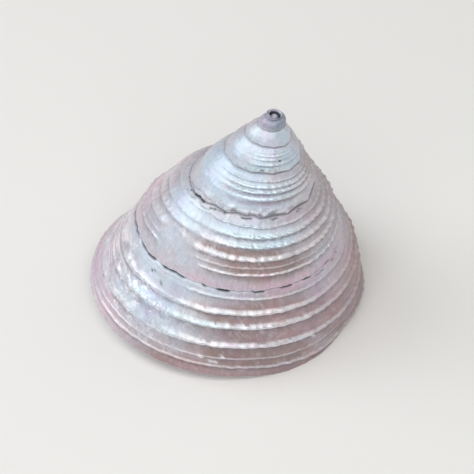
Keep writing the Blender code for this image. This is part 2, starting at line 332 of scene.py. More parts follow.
# Base and hollow, as fractions of the rim radius and of the tube's section
BASE_OUTLINE = (
    (0.0, 0.0), (0.025, -0.022), (0.07, -0.034), (0.14, -0.03), (0.22, -0.036), (0.31, -0.022),
    (0.4, -0.018), (0.5, 0.0), (0.62, 0.018), (0.76, 0.048), (0.895, 0.1), (0.945, 0.17),
)
BASE_ROWS = 22
BASE_THREADS = 13.0
THREAD_HEIGHT = 0.06 * MM
BASE_UNEVENNESS = 0.08 * MM
FUNNEL_EDGE = 0.895
FUNNEL_TOP_RISE = 0.02
HOLLOW_ACROSS = (0.16, 0.95)
HOLLOW_UP = (0.13, 0.95)
HOLLOW_CORNERS = 0.62
HOLLOW_POINTS = 28
HOLLOW_STEP = 4
HOLLOW_TURNS = 1.125
HOLLOW_END_SIZES = (0.92, 0.72, 0.40)
HOLLOW_END_STEP = 0.03

# Worn tip, from its edge to the floor of the hole: share of the radius, rise in mm
TIP_RINGS = (
    (0.97, 0.08), (0.92, 0.13), (0.87, 0.08), (0.83, -0.08), (0.8, -0.32),
    (0.72, -0.62), (0.6, -0.7), (0.48, -0.52), (0.36, -0.36), (0.18, -0.28),
)
TIP_FLOOR = -0.26 * MM
TIP_PLUG_BACK = 0.22 * MM

# Masks that are the same all over the rim's edge, the tip, the base and the hollow
# The rims' edges carry part of the painted highlight
RIM_LOOK = {"crest": 0.6}
TIP_LOOK = {"cool": 0.5, "slate": 0.7}
BASE_LOOK = {"crest": 0.3, "warm": 0.35, "cool": 0.3, "cream": 0.3}
HOLLOW_LOOK = {"crest": 0.4, "warm": 0.1, "cool": 0.6}

# Depth worn off where the shell stands, and the height over which that fades
WORN_LAND = 0.9 * MM
WORN_EDGE = 0.08 * MM

# The photo's camera, seen from the middle of the frame's ground
PICTURE_SIDE = 474
FOCAL_PIXELS = 1647.06
SENSOR = 36.0
CAMERA_ELEVATION = np.radians(43.356)
CAMERA_ROLL = 0.01091
CAMERA_DISTANCE = 0.306
CAMERA_TARGET = Vector((0.001734, 0.0, 0.013655))

# Lights: place, size, colour. All face the middle of the shell.
LIGHTS_FACE = (0.0, 0.0, 0.02)
LIGHTS = {
    "key": ((-0.62, 0.10, 0.52), (0.6, 0.6), (0.95, 0.98, 1.0)),
    "fill": ((0.90, 0.35, 0.75), (1.4, 1.2), (1.0, 0.97, 0.94)),
    "sky": ((-0.08, -0.52, 0.74), (1.1, 1.2), (1.0, 0.99, 0.98)),
}
SURROUNDINGS = (0.90, 0.90, 0.91, 1.0)
FLOOR_ROUGHNESS = 0.6

# Steps of the material's patterns in a metre, along and down the wall or in space
GROWTH_LINE_STEPS = (2600.0, 160.0)
FLAKE_STEPS = (2100.0, 1500.0)
PEARL_STEPS = (110.0, 420.0)
CLOUD_STEPS = 900.0
PEPPER_STEPS = 2600.0
# Stops of the pearl's drift from pink to blue to violet
PEARL_STOPS = (
    (0.34, (1.00, 0.84, 0.93, 1.0)),
    (0.42, (1.00, 0.95, 0.93, 1.0)),
    (0.50, (0.95, 0.97, 0.97, 1.0)),
    (0.57, (0.91, 0.96, 1.00, 1.0)),
    (0.66, (0.97, 0.89, 1.00, 1.0)),
)

# Strength of each paint over the pearl's ground
PAINTS = {"lilac_tone_and_reflection": 0.75, "shade": 0.85, "crest": 0.92, "pearl": 0.85, "dull": 0.50}
# Patterns and masks turned to grey, roughness or metal: a factor and an addend
CLOUD_GREY = (0.40, 0.80)
LINES_GREY = (0.24, 0.88)
PEPPER_GREY = (0.36, 0.82)
CLOUD_ROUGHNESS = (0.20, 0.24)
POLISH_METAL = (0.36, 0.10)
POLISH_SMOOTHS = 0.12
DIRT_ROUGHENS = 0.3
MATT_ROUGHENS = 0.20
BUMP_STRENGTH = 0.8
BUMP_HEIGHT = 0.03 * MM
# Clamped lines of the flakes' value, and of the suture's distances
FLAKE_MASKS = {"White": (3.6, -1.95), "Dull": (-5.5, 2.50)}
SEAM_MIDDLE = (0.10 * MM, 0.13 * MM)
SEAM_HALF_WIDTH = (0.16 * MM, 0.12 * MM)
SEAM_STRENGTH = (0.85, 0.22)

# What each vertex carries for the material: distances along and down the wall, then masks
MARKS = ("along", "down", "gap", "crest", "shade", "crevice", "scale", *TINTS)


def chance(i, j, seed):
    """A number from 0 to 1 for each pair of whole numbers, the same on every run."""
    mixed = (i * 73856093) ^ (j * 19349663) ^ (seed * 83492791)
    mixed = (mixed ^ (mixed >> 13)) * 1274126177 & 0x7FFFFFFF
    mixed = (mixed ^ (mixed >> 16)) * 2654435 & 0x7FFFFFFF
    return mixed / 0x7FFFFFFF


def noise(x, y, seed):
    """Chance numbers on whole places, blended by a smooth step between them, from -1 to 1."""
    x, y = np.broadcast_arrays(np.asarray(x, float), np.asarray(y, float))
    i = np.floor(x).astype(np.int64)
    j = np.floor(y).astype(np.int64)
    u = x - i
    v = y - j
    u = u * u * (3.0 - 2.0 * u)
    v = v * v * (3.0 - 2.0 * v)
    low = chance(i, j, seed) * (1.0 - u) + chance(i + 1, j, seed) * u
    high = chance(i, j + 1, seed) * (1.0 - u) + chance(i + 1, j + 1, seed) * u
    return 2.0 * (low * (1.0 - v) + high * v) - 1.0


def ripples(turn, across, table):
    """A sum of noise, from rows of height, steps in a turn, steps across the wall and seed."""
    return sum(height * noise(turn * along, across * rows, seed) for height, along, rows, seed in table)


def bell(x):
    """exp(-x squared): 1 at 0, falling to nothing past 2."""
    return np.exp(-x * x)


def unit(x):
    """x kept between 0 and 1."""
    return np.clip(x, 0.0, 1.0)


def ease(x, low, high):
    """A smooth step from 0 at low to 1 at high."""
    t = unit((x - low) / (high - low))
    return t * t * (3.0 - 2.0 * t)


def span(x, start, full, fades, ends):
    """A smooth plateau: 0 up to start, 1 from full to where it fades, 0 again where it ends."""
    return ease(x, start, full) * (1.0 - ease(x, fades, ends))


def apart(turn, across, spot):
    """Distance from a spot, given as turn, place and its reach in turns and across: 1 at its edge."""
    at_turn, at_place, turns, places = spot
    return np.hypot((turn - at_turn) / turns, (across - at_place) / places)


def mound(turn, across, spot):
    """A bell in turns times a bell across the wall, over a spot given as for apart."""
    at_turn, at_place, turns, places = spot
    return bell((turn - at_turn) / turns) * bell((across - at_place) / places)


def rim(turn):
    """Radius and height of the rim, the lowest and widest line of each whorl.

    The radius grows as exp(g * turn), and slows past a turn by a soft bend; the rim drops with
    the radius and with its fourth power; a slight oval varies the radius twice a turn. The
    first whorl is lifted and widened by an exponential that dies out down the coil.
    """
    turn = np.maximum(turn, START_TURN - SLANT)
    bend = GROWTH_SLOWS_OVER
    late = np.logaddexp(0.0, bend * (turn - GROWTH_SLOWS_AT))
    at_front = np.logaddexp(0.0, -bend * GROWTH_SLOWS_AT)
    size = np.exp(GROWTH_PER_TURN * (turn - (late - at_front) / bend))
    drop = DROP_PER_RADIUS * size + LATE_DROP * size ** 4
    oval = 1.0 + OVAL * np.cos(4.0 * np.pi * (turn - OVAL_LONG_AT))
    radius = bpy.context.scene.shell_sizes.rim_radius
    tip = np.exp(-(turn - START_TURN + SLANT) / TIP_REACH)
    return radius * size * oval + TIP_WIDER * tip, TIP_RISE * tip - radius * drop


class Slope:
    """The straight line across the wall at an array of turns, from suture to rim."""

    def __init__(self, turn):
        self.top_radius, self.top_height = rim(turn - 1.0)
        rim_radius, rim_height = rim(turn - SLANT)
        radius = rim_radius - self.top_radius
        height = rim_height - self.top_height
        self.length = np.maximum(np.hypot(radius, height), 0.001 * MM)
        self.along_radius = radius / self.length
        self.along_height = height / self.length

    def at(self, down, out):
        """Radius and height a distance down the line and a distance out of it."""
        radius = self.top_radius + self.along_radius * down - self.along_height * out
        height = self.top_height + self.along_height * down + self.along_radius * out
        return radius, height


def swells(turn, across):
    """Height of the large swells and dents, a sum of bells."""
    return sum(height * MM * mound(turn, across, spot) for *spot, height in SWELLS)


def rim_detail(turn):
    """How far the rim's edge stands out, and its shift down the wall.

    Polygons fall back between corners by a parabola. Small jags are noise along the edge.
    """
    radius, _height = rim(turn)
    corners = CORNERS_PER_TURN * turn + np.maximum(turn - CORNERS_CLOSER_FROM, 0.0)
    side = 1.0 - 2.0 * np.abs(corners - np.floor(corners) - 0.5)
    out = -CORNER_SAGITTA * span(turn, *CORNER_TURNS) * radius * (1.0 - side ** 2)
    jagged = span(turn, *JAG_TURNS) * MM
    out = out + jagged * ripples(turn, 1.0, JAGS_OUT)
    down = jagged * ripples(turn, 1.0, JAGS_DOWN)
    for at_turn, turns, shift in RIM_SHIFTS:
        down = down + shift * MM * bell((turn - at_turn) / turns)
    return out, down


def place(turn, radius, height):
    """Points around the axis: turns run clockwise from above, and turn 0 is near the front."""
    angle = FACING - 0.5 * np.pi - 2.0 * np.pi * turn
    radius, height, angle = np.broadcast_arrays(radius, height, angle)
    return np.stack([radius * np.cos(angle), radius * np.sin(angle), height], axis=-1)


def rim_edge(turn):
    """The rim's line in space, with its corners, jags and shifts."""
    slope = Slope(turn + SLANT)
    out, down = rim_detail(turn)
    radius, height = slope.at(slope.length + down, swells(turn + SLANT, 1.0))
    return place(turn, radius + out, height - EDGE_FALL * out)


def right_side(turn):
    """1 at the right of each whorl, 0 at its front and left."""
    return span(np.round(turn) - turn, *RIGHT_SIDE)


def left_side(turn):
    """1 at the left of each whorl, where the cords are broad and low, 0 elsewhere."""
    return span(turn - np.round(turn - 0.1), *LEFT_SIDE)


def beads(turn, k):
    """The beads of cord k along the coil: how much they raise it, and its sway across.

    A sine whose pace grows with the coil and wanders, and noise of two sizes. They stand out
    most at the right of each whorl and least at its left.
    """
    wander, uneven, coarse, fine = (noise(turn * steps, k + 0.5, seed) for steps, seed in BEAD_NOISES)
    pace = 2.0 * np.pi * BEADS_PER_TURN * np.exp(BEAD_GROWTH * turn) / BEAD_GROWTH
    phase = pace + BEAD_STEP_TO_NEXT_CORD * k + BEAD_WANDER * wander
    strong = BEAD_STRENGTH + BEAD_UNEVENNESS * uneven
    strong = strong * (1.0 - LATE_BEADS_WEAKER * ease(turn, *LATE_BEADS_FROM))
    early = EARLY_BEADS_AT_RIGHT * (1.0 - ease(turn, *EARLY_BEADS_END))
    strong = strong + right_side(turn) * (BEADS_AT_RIGHT + early)
    strong = strong * (1.0 - BEADS_WEAKER_AT_LEFT * left_side(turn))

    def mix(sizes, lead):
        """The sine and both noises, each by its size."""
        return sizes[0] * strong * np.sin(phase + lead) + sizes[1] * coarse + sizes[2] * fine

    return 1.0 + mix(BEAD_RISES, 0.0), mix(BEAD_SWAYS, BEAD_SWAY_LEAD)


def cord_lines(turn, length):
    """Place of each cord's crest and its reaches up and down, one column for each cord.

    The main cords' rising flanks are broader at the left of the last two whorls, and narrower
    at the right of the last one.
    """
    widen = np.sqrt(FULL_LENGTH / np.maximum(length, 2.0 * MM))
    broad = 1.0 + left_side(turn) * ease(turn, *BROAD_FROM)
    crests = []
    ups = []
    downs = []
    for k, (places, _height, up, down) in enumerate(CORDS):
        here = turn - SLANT * CORD_AZIMUTHS[k]
        crests.append(np.interp(here, CORDS_KNOWN_AT, places) + beads(here, k)[1])
        narrow = 1.0 - NARROWED_AT_RIGHT * right_side(here) * ease(turn, *LATE_FROM)
        ups.append(up * np.minimum(widen * (broad * narrow if k < MAIN_CORDS else 1.0), MOST_WIDENED))
        downs.append(down * widen)
    return np.stack(crests, axis=-1), np.stack(ups, axis=-1), np.stack(downs, axis=-1)


def worn(turn, across):
    """1 where the wall is worn smooth, with ragged edges."""
    total = 0.0
    rag = ripples(turn, across, WORN_RAG)
    for *spot, strength in WORN_PATCHES:
        inside = 1.0 - ease(apart(turn, across, spot) + rag, *WORN_EDGES)
        total = np.maximum(total, strength * inside)
    return total


def cords(turn, across, length):
    """Height of the cords, a mask of their bright upper flanks and one of the shade below.

    Each cord rises slowly to its top and falls steeply below it: (1 - distance / reach) to a
    power on either side. The painted highlight covers the flank from near its foot to just below
    the top, with ragged edges, and is weaker at the sides of the whorl. The painted shade is a
    bell below.
    """
    lift = np.zeros(np.broadcast(turn, across).shape)
    crest = np.zeros_like(lift)
    shade = np.zeros_like(lift)
    size = unit(length / FULL_LENGTH) ** 0.5
    kept = 1.0 - worn(turn, across)
    here = turn - SLANT * across
    dim = (DIM_AT_RIGHT + LATE_DIM_AT_RIGHT * ease(turn, *LATE_FROM)) * right_side(here)
    crests, ups, downs = cord_lines(turn, length)
    for k, (_places, height, _up, _down) in enumerate(CORDS):
        main = k < MAIN_CORDS
        row = k + 0.5
        low = left_side(turn) * (1.0 if main else LOW_CORDS_FLATTENED)
        known = ease(turn, *(CORDS_START_AT if main else LOW_CORDS_START_AT))
        away = across - crests[..., k]
        reach = downs[..., k]
        rise = unit(1.0 + away / ups[..., k])
        fall = unit(1.0 - away / reach)
        above = away < 0.0
        ridge = np.where(above, rise ** CORD_RISE_POWER, fall ** CORD_FALL_POWER)
        raised, _sway = beads(here, k)
        lift += height * size * known * kept * raised * ridge * (1.0 - FLATTENED_AT_LEFT * low)

        # Painted highlight on each cord's upper flank, dimmer at the sides of the whorl
        strength = kept * known * np.clip(height / FULL_CREST_HEIGHT, 0.45, 1.0)
        rag = 0.16 * noise(here * 150.0, row, 35) + 0.14 * noise(here * 256.0, across * 70.0, 36)
        flank = ease(rise + rag, *FLANK_EDGE) * (0.78 + 0.22 * ease(rise, *FLANK_FULL))
        bright = np.where(above, flank, ease(fall + rag, *CREST_EDGE))
        bright = bright * (1.0 - DIM_AT_LEFT * low) * (1.0 - dim) * unit(0.35 + 0.65 * raised)
        bright = bright * unit(0.92 + 0.35 * noise(here * 230.0, row, 38))
        if k == len(CORDS) - 1:
            bright = bright * (1.0 - LOWEST_CREST_DIMS * ease(turn, *LOWEST_CREST_DIMS_FROM))
        crest = np.maximum(crest, bright * strength)

        # Painted shade below each cord
        under = bell((away / reach - SHADE_PLACE) / SHADE_REACH) * ~above
        notch = (0.5 + 0.8 * low) * noise(here * 120.0, row, 37)
        weaker = SHADE_WEAKER_AT_LEFT * low
        under = under * np.clip(SHADE_STRENGTH - weaker + notch, 0.15, 1.0)
        shade = np.maximum(shade, under * strength * (1.0 - weaker))
    return lift, crest, shade


def gaps(turn):
    """1 where a suture gapes, 0 where it is shut, with ragged ends.

    Above the last whorl a fainter opening runs between them, on the upper whorls at their fronts.
    """
    gap = 0.0
    for at_turn, turns in SUTURE_GAPS:
        gap = np.maximum(gap, 1.0 - ease(np.abs(turn - at_turn) / turns, *GAP_ENDS))
    gap = unit(gap * (1.0 + 0.5 * noise(turn * 120.0, 0.5, 41)))
    front = bell((turn - np.round(turn) - FAINT_GAP_FRONT) / FAINT_GAP_REACH)
    front = FAINT_GAP_BEHIND + (1.0 - FAINT_GAP_BEHIND) * front
    line = front + (1.0 - front) * ease(turn, *FAINT_GAP_ALL_ROUND_FROM)
    return np.maximum(gap, FAINT_GAP * (1.0 - ease(turn, *FAINT_GAP_ENDS)) * line)


def suture(gap, from_top, length):
    """Depth of the groove under the rim above: a bell of the distance from it."""
    size = np.clip(length / FULL_LENGTH, 0.15, 1.0) ** 0.5
    depth, middle, width = ((shut + more * gap) * MM for shut, more in GROOVE.values())
    return depth * size * bell((from_top - middle) / width)


def to_line(turn, across, points, around, length):
    """Distance from a line of points (turn, place), measured on the surface."""
    nearest = np.full(np.broadcast(turn, across).shape, 1.0)
    for (turn_a, place_a), (turn_b, place_b) in zip(points[:-1], points[1:]):
        x = (turn_b - turn_a) * around
        y = (place_b - place_a) * length
        u = (turn - turn_a) * around
        v = (across - place_a) * length
        t = np.clip((u * x + v * y) / np.maximum(x * x + y * y, 1e-12), 0.0, 1.0)
        nearest = np.minimum(nearest, np.hypot(u - t * x, v - t * y))
    return nearest


def wear(turn, across, around, length):
    """Depth of pits and cracks, a mask of the dirt and painted shade in them, and a mask of white chips.
    """
    depth = 0.0
    dirt_and_shade = 0.0
    chip = 0.0
    for *spot, deep in PITS:
        shape = bell(apart(turn, across, spot) ** 1.5)
        depth = np.maximum(depth, deep * shape)
        dirt_and_shade = np.maximum(dirt_and_shade, shape)
    wander = ripples(turn, across, CRACK_WANDER)
    for points, deep, half_width in CRACKS:
        away = to_line(turn, across, points, around, length) + wander
        shape = bell(away / half_width)
        depth = np.maximum(depth, deep * shape)
        dirt_and_shade = np.maximum(dirt_and_shade, shape * deep / FULL_DARKNESS_DEPTH)
    rag = ripples(turn, across, CHIP_RAG)
    for spot in CHIPS:
        chip = np.maximum(chip, 1.0 - ease(apart(turn, across, spot) + rag, *CHIP_EDGES))
    return depth, unit(dirt_and_shade), chip


def roughness(turn, across, scale):
    """The wall's uneven swells and fine ripples, noise of three sizes, and scaly bumps."""
    bumps = SCALE_BUMP * scale * np.maximum(noise(turn * 105.0, across * 21.0, 54), -0.1)
    return (ripples(turn, across, ROUGHNESS) + bumps) * MM


def scales(turn, across):
    """1 where the last whorl is scaly, at the left, with ragged edges."""
    rag = ripples(turn, across, SCALY_RAG)
    return 1.0 - ease(apart(turn, across, SCALY_PART) + rag, *SCALY_EDGES)


def hem(here, across):
    """White edges above the rims at turns -2 and -3, and their dark notches, painted shade under
    scallops.
    """
    low = HEM_FROM + 0.04 * noise(here * 34.0, 0.5, 58)
    inside = span(across, low - HEM_SOFTNESS, low + HEM_SOFTNESS, *HEM_ENDS)
    near = np.maximum(*(bell((here - at_turn) / turns) for at_turn, turns in HEMS))
    notch = unit(2.4 * noise(here * 75.0, across * 7.0, 60) - 0.3) * ease(across, 0.86, 0.93)
    return inside * near * (1.0 - notch), notch * near * (1.0 - ease(across, 0.98, 1.0))


def tints(turn, across):
    """The tint masks, each the strongest of its flat-topped bells, with painted tan shade at the back."""
    masks = {}
    for name, spots in TINTS.items():
        mask = 0.0
        for *spot, strength in spots:
            shape = mound(turn, across, spot)
            mask = np.maximum(mask, strength * unit(2.0 * shape * shape))
        masks[name] = mask
    back = np.abs(turn - np.round(turn)) / 0.5
    masks["warm"] = np.maximum(masks["warm"], TAN_SHADE_BACK * ease(back, 0.5, 0.9))
    return masks


def marks_of(**values):
    """Marks of a block of vertices as one array, in the order of MARKS. Those not given are 0."""
    return np.stack(np.broadcast_arrays(*[values.get(name, 0.0) for name in MARKS]), axis=-1)


def along_rim(radius):
    """Length of an exponential spiral from its tip to this radius: circumference / growth."""
    return 2.0 * np.pi * radius / GROWTH_PER_TURN


def wall_marks(turn, across, length, **masks):
    """Marks of the wall: distances along and across it, then the masks that colour it."""
    radius, _height = rim(turn - SLANT * across)
    return marks_of(along=along_rim(radius), down=across * length, **tints(turn, across), **masks)


def wall(turn, across):
    """Points of the wall and their marks.

    A straight line from the rim one turn before to the rim at the growth line's lower end,
    bulged by a skewed sine, and lifted along its normal by swells, cords, sutures and cracks.
    The shifts, swells and corners of both rims fade away from them across the wall.
    """
    slope = Slope(turn)
    length = slope.length
    size = unit(length / FULL_LENGTH)
    inside = np.sin(np.pi * unit(across)) ** 0.5
    here = turn - SLANT * across
    from_top = across * length
    around = 2.0 * np.pi * (slope.top_radius + slope.along_radius * from_top)

    gap = gaps(turn)
    ridge, crest, shade = cords(turn, across, length)
    dent, dirt_and_shade, chip = wear(turn, across, around, length)
    scale = scales(turn, across)
    out_above, down_above = rim_detail(here - 1.0)
    out_below, down_below = rim_detail(here)
    near_top = np.exp(-from_top / (0.5 * MM + 0.04 * length))
    wide_top = np.exp(-from_top / (0.5 * MM + 0.13 * length))
    near_rim = across ** 8
    band = BAND_HEIGHT * size * bell((across - BAND_PLACE) / BAND_REACH) * span(here, *BAND_TURNS)
    bulge = WALL_BULGE + TIP_BULGE * (1.0 - ease(turn, -5.1, -4.4))

    out = bulge * length * np.sin(np.pi * across ** BULGE_LOW_BY)
    out = out + ridge + band + swells(turn, across) * ease(across, 0.0, 0.12)
    out = out + swells(here - 1.0 + SLANT, 1.0) * wide_top
    out = out + roughness(turn, across, scale) * size ** 0.7 * inside
    out = out + CHIP_HEIGHT * chip - suture(gap, from_top, length) - dent
    down = from_top + down_above * wide_top + down_below * near_rim
    radius, height = slope.at(down, out)
    radius = radius + out_above * near_top + out_below * near_rim

    white, notch = hem(here, across)
    # Masks: painted highlight with white chips and hems, painted shade, dirt with painted shade in pits
    masks = {
        "gap": gap,
        "crest": np.maximum(crest, np.maximum(0.8 * chip, white)),
        "shade": np.maximum(shade, notch),
        "crevice": dirt_and_shade,
        "scale": unit(scale + SCALES_ELSEWHERE) * (1.0 - worn(turn, across)),
    }
    return place(here, radius, height), wall_marks(turn, across, length, **masks)


def base_place(turn, inward):
    """Radius and height on the base, this fraction in from the rim of this turn."""
    radius, height = rim(turn)
    outline = np.array(BASE_OUTLINE)
    rise = np.interp(inward, outline[:, 0], outline[:, 1])
    return radius * (1.0 - inward), height + radius * rise


def row_places(turn, zone):
    """Places of the rows across the wall at an array of turns, from 0 to 1.

    Rows stand close together at the suture, on the cords and at the rim. A small step added from
    row to row keeps them apart where their places would be the same.
    """
    length = Slope(turn).length
    knots = [np.zeros_like(turn)] + [row / length for row in SUTURE_ROWS]
    counts = [1] * len(SUTURE_ROWS)
    if zone in CORD_ROWS:
        before, rise, fall = CORD_ROWS[zone]
        crests, ups, downs = cord_lines(turn, length)
        for k in range(len(CORDS)):
            centre = crests[..., k]
            foot = np.maximum(centre - ups[..., k], 0.6 * knots[-1] + 0.4 * centre)
            knots += [foot, centre, centre + downs[..., k]]
            counts += [SHOULDER_ROWS[zone] if k == 0 else before, rise, fall]
            if zone == len(ZONES) - 1:
                knots.append(centre + 1.7 * downs[..., k])
                counts.append(1)
        knots.append(np.full_like(turn, KEEL_PLACE))
        counts.append(2)
    knots += [1.0 - row / length for row in RIM_ROWS] + [np.ones_like(turn)]
    counts += [1 if zone in CORD_ROWS else PLAIN_ROWS[zone]] + [1] * len(RIM_ROWS)
    places = [knots[0]]
    for k, count in enumerate(counts):
        for step in range(1, count + 1):
            places.append(knots[k] + (knots[k + 1] - knots[k]) * step / count)
    places = np.maximum.accumulate(unit(np.stack(places, axis=-1)), axis=-1)
    places = places + ROW_STEP * np.arange(places.shape[-1])
    return places / places[..., -1:]


class Surface:
    """Vertices with their marks, and triangles, gathered as whole arrays."""

    def __init__(self):
        self.points = []
        self.marks = []
        self.triangles = []
        self.count = 0

    def add(self, points, marks):
        """Adds a block of vertices and returns their numbers in the block's shape."""
        shape = points.shape[:-1]
        number = int(np.prod(shape))
        self.points.append(points.reshape(-1, 3))
        self.marks.append(np.broadcast_to(marks, shape + (len(MARKS),)).reshape(-1, len(MARKS)))
        numbers = np.arange(self.count, self.count + number).reshape(shape)
        self.count += number
        return numbers

    def fill(self, *corners):
        """Triangles from three arrays of vertex numbers; those with two corners alike go."""
        faces = np.stack([np.ravel(c) for c in np.broadcast_arrays(*corners)], axis=-1)
        a, b, c = faces.T
        self.triangles.append(faces[(a != b) & (b != c) & (c != a)])

    def grid(self, numbers, closed=False):
        """Two triangles for each cell of a grid of vertex numbers, closed round its rows or not."""
        if closed:
            numbers = np.concatenate([numbers, numbers[:, :1]], axis=1)
        a, b = numbers[:-1, :-1], numbers[1:, :-1]
        c, d = numbers[1:, 1:], numbers[:-1, 1:]
        self.fill(a, b, c)
        self.fill(a, c, d)

    def zip(self, first, second, first_places, second_places):
        """Triangles between two chains, stepping along whichever is further behind.

        Sorting the places of both chains' steps together gives the order of the steps.
        """
        places = np.concatenate([first_places[1:], second_places[1:]])
        order = np.argsort(places, kind="stable")
        of_first = order < len(first) - 1
        i = np.concatenate([[0], np.cumsum(of_first)])
        j = np.concatenate([[0], np.cumsum(~of_first)])
        apex = np.where(of_first, first[i[1:]], second[j[1:]])
        self.fill(first[i[:-1]], apex, second[j[:-1]])

    def cap(self, ring, middle, marks):
        """A fan of triangles from a closed ring to a point in its middle."""
        centre = self.add(np.array([middle]), marks[-1, :1])
        self.fill(ring, np.roll(ring, -1), centre[0])


def zone_columns():
    """Ticks of all columns and the zone of each; a column belongs to the zone that it ends."""
    ticks = [round(START_TURN * TICKS)]
    zones = [0]
    for zone, (end, step) in enumerate(ZONES):
        more = list(range(ticks[-1] + step, end + 1, step))
        ticks += more
        zones += [zone] * len(more)
    return np.array(ticks), np.array(zones)


def build_wall(surface):
    """The coiled wall. Returns its first and last columns, and the rim's ticks and vertices."""
    ticks, zones = zone_columns()
    rim_ticks = np.union1d(ticks - SLANT_TICKS, ticks - TICKS)
    turns = rim_ticks / TICKS
    below = turns + 1.0
    marks = wall_marks(below, np.zeros(len(turns)), 0.0, gap=gaps(below), **RIM_LOOK)
    rims = surface.add(rim_edge(turns), marks)

    def rim_at(tick):
        """Vertices of the rim at these ticks."""
        return rims[np.searchsorted(rim_ticks, tick)]

    last = None
    first_column = None
    for zone in range(len(ZONES)):
        here = ticks[zones == zone]
        turn = here / TICKS
        across = row_places(turn, zone)
        points, marks = wall(turn[:, None], across)
        body = surface.add(points[:, 1:-1], marks[:, 1:-1])
        column = np.concatenate([rim_at(here - TICKS)[:, None], body], axis=1)
        surface.grid(column)
        rim_strip(surface, here, column[:, -1], rim_ticks, rims)
        if last is None:
            first_column = np.append(column[0], rim_at(here[0] - SLANT_TICKS))
        else:
            surface.zip(
                np.append(last[0], rim_at(last[1] - SLANT_TICKS)),
                np.append(column[0], rim_at(here[0] - SLANT_TICKS)),
                last[2],
                across[0],
            )
        last = (column[-1], here[-1], across[-1])
    last_column = np.append(last[0], rim_at(last[1] - SLANT_TICKS))
    return first_column, last_column, last[2], rim_ticks, rims


def rim_strip(surface, ticks, row, rim_ticks, rims):
    """Joins the lowest row of a zone to the rim, which may have more vertices than the row."""
    inside = (rim_ticks >= ticks[0] - SLANT_TICKS) & (rim_ticks <= ticks[-1] - SLANT_TICKS)
    own_ticks = rim_ticks[inside] + SLANT_TICKS
    own = rims[inside]
    cell = np.searchsorted(ticks, own_ticks[:-1], side="right") - 1
    first = np.searchsorted(own_ticks, ticks)
    half = first[:-1] + (np.diff(first) + 1) // 2
    before_half = np.arange(len(cell)) < half[cell]
    surface.fill(np.where(before_half, row[cell], row[cell + 1]), own[1:], own[:-1])
    surface.fill(row[:-1], row[1:], own[half])


def close_tip(surface, first_column, rim_ticks, rims):
    """The worn tip: a rounded edge, then the wall and floor of its hole, ring by ring."""
    start = round(START_TURN * TICKS)
    crown = rims[(rim_ticks >= start - TICKS) & (rim_ticks < start - SLANT_TICKS)]
    ring = np.concatenate([crown, first_column[1:][::-1]])
    points = np.concatenate(surface.points)[ring]
    height = rim(START_TURN)[1]
    shares, rises = (np.array(TIP_RINGS) * (1.0, MM)).T[..., None]
    uneven = 1.0 + 0.03 * noise(np.arange(len(ring)) * 0.35, shares * 5.0, 61)
    x = points[:, 0] * shares * uneven
    y = points[:, 1] * shares * uneven + TIP_PLUG_BACK * (1.0 - ease(shares, 0.45, 0.75))
    z = np.broadcast_to(height + rises, x.shape)
    # Painted shade on the hole's wall; painted highlight on the rounded edge and the floor's middle
    hole_shade = ease(0.86 - shares, 0.0, 0.06) * ease(shares, 0.40, 0.58) * np.ones_like(x)
    tip_highlight = 0.6 * ease(rises, 0.0, 0.1 * MM) + 0.7 * ease(0.34 - shares, 0.0, 0.20)
    marks = marks_of(down=-shares * MM, crest=tip_highlight, crevice=hole_shade, **TIP_LOOK)
    rings = surface.add(np.stack([x, y, z], axis=-1), marks)
    surface.grid(np.concatenate([ring[None, :], rings]), closed=True)
    surface.cap(rings[-1], (0.0, TIP_PLUG_BACK, height + TIP_FLOOR), marks)


def build_base(surface, rim_ticks, rims):
    """The base and its funnel. Returns the chains in from the rim at the lip's two ends."""
    first = round((LIP_TURN - 1.0) * TICKS)
    last = round(LIP_TURN * TICKS) - SLANT_TICKS
    turn = np.arange(first, last + 1, 2)[:, None] / TICKS
    inward = np.linspace(0.0, 1.0, BASE_ROWS + 1)[None, 1:] ** 0.85 * BASE_OUTLINE[-1][0]
    radius, height = base_place(turn, inward)
    threads = np.sin(2.0 * np.pi * BASE_THREADS * inward) * span(inward, 0.05, 0.15, 0.75, 0.9)
    height = height + THREAD_HEIGHT * threads + BASE_UNEVENNESS * noise(turn * 15.0, inward * 6.0, 71)
    pink = 0.5 + 0.5 * noise(turn * 5.0, inward * 3.0, 72)
    marks = marks_of(along=along_rim(radius), down=-inward * radius, pink=pink, **BASE_LOOK)
    body = surface.add(place(turn, radius, height), marks)
    surface.grid(body)

    edge = rims[(rim_ticks >= first) & (rim_ticks <= last)]
    cell, odd = np.divmod(np.arange(len(edge) - 1), 2)
    surface.fill(body[cell + odd, 0], edge[1:], edge[:-1])
    surface.fill(body[:-1, 0], body[1:, 0], edge[1::2])

    top = base_place(first / TICKS, FUNNEL_EDGE)[1]
    rise = FUNNEL_TOP_RISE * bpy.context.scene.shell_sizes.rim_radius
    centre = surface.add(np.array([[0.0, 0.0, top + rise]]), marks[-1, :1])
    surface.fill(body[:-1, -1], body[1:, -1], centre[0])
    over = np.concatenate([[edge[0]], body[0], centre])
    under = np.concatenate([[edge[-1]], body[-1], centre])
    return over, under


def rounded_span(wave, sides, size):
    """A cosine or sine made squarer, and fitted between two fractions of the section."""
    middle = 0.5 * (sides[0] + sides[1])
    half = 0.5 * (sides[1] - sides[0]) * size
    return middle + half * np.sign(wave) * np.abs(wave) ** HOLLOW_CORNERS


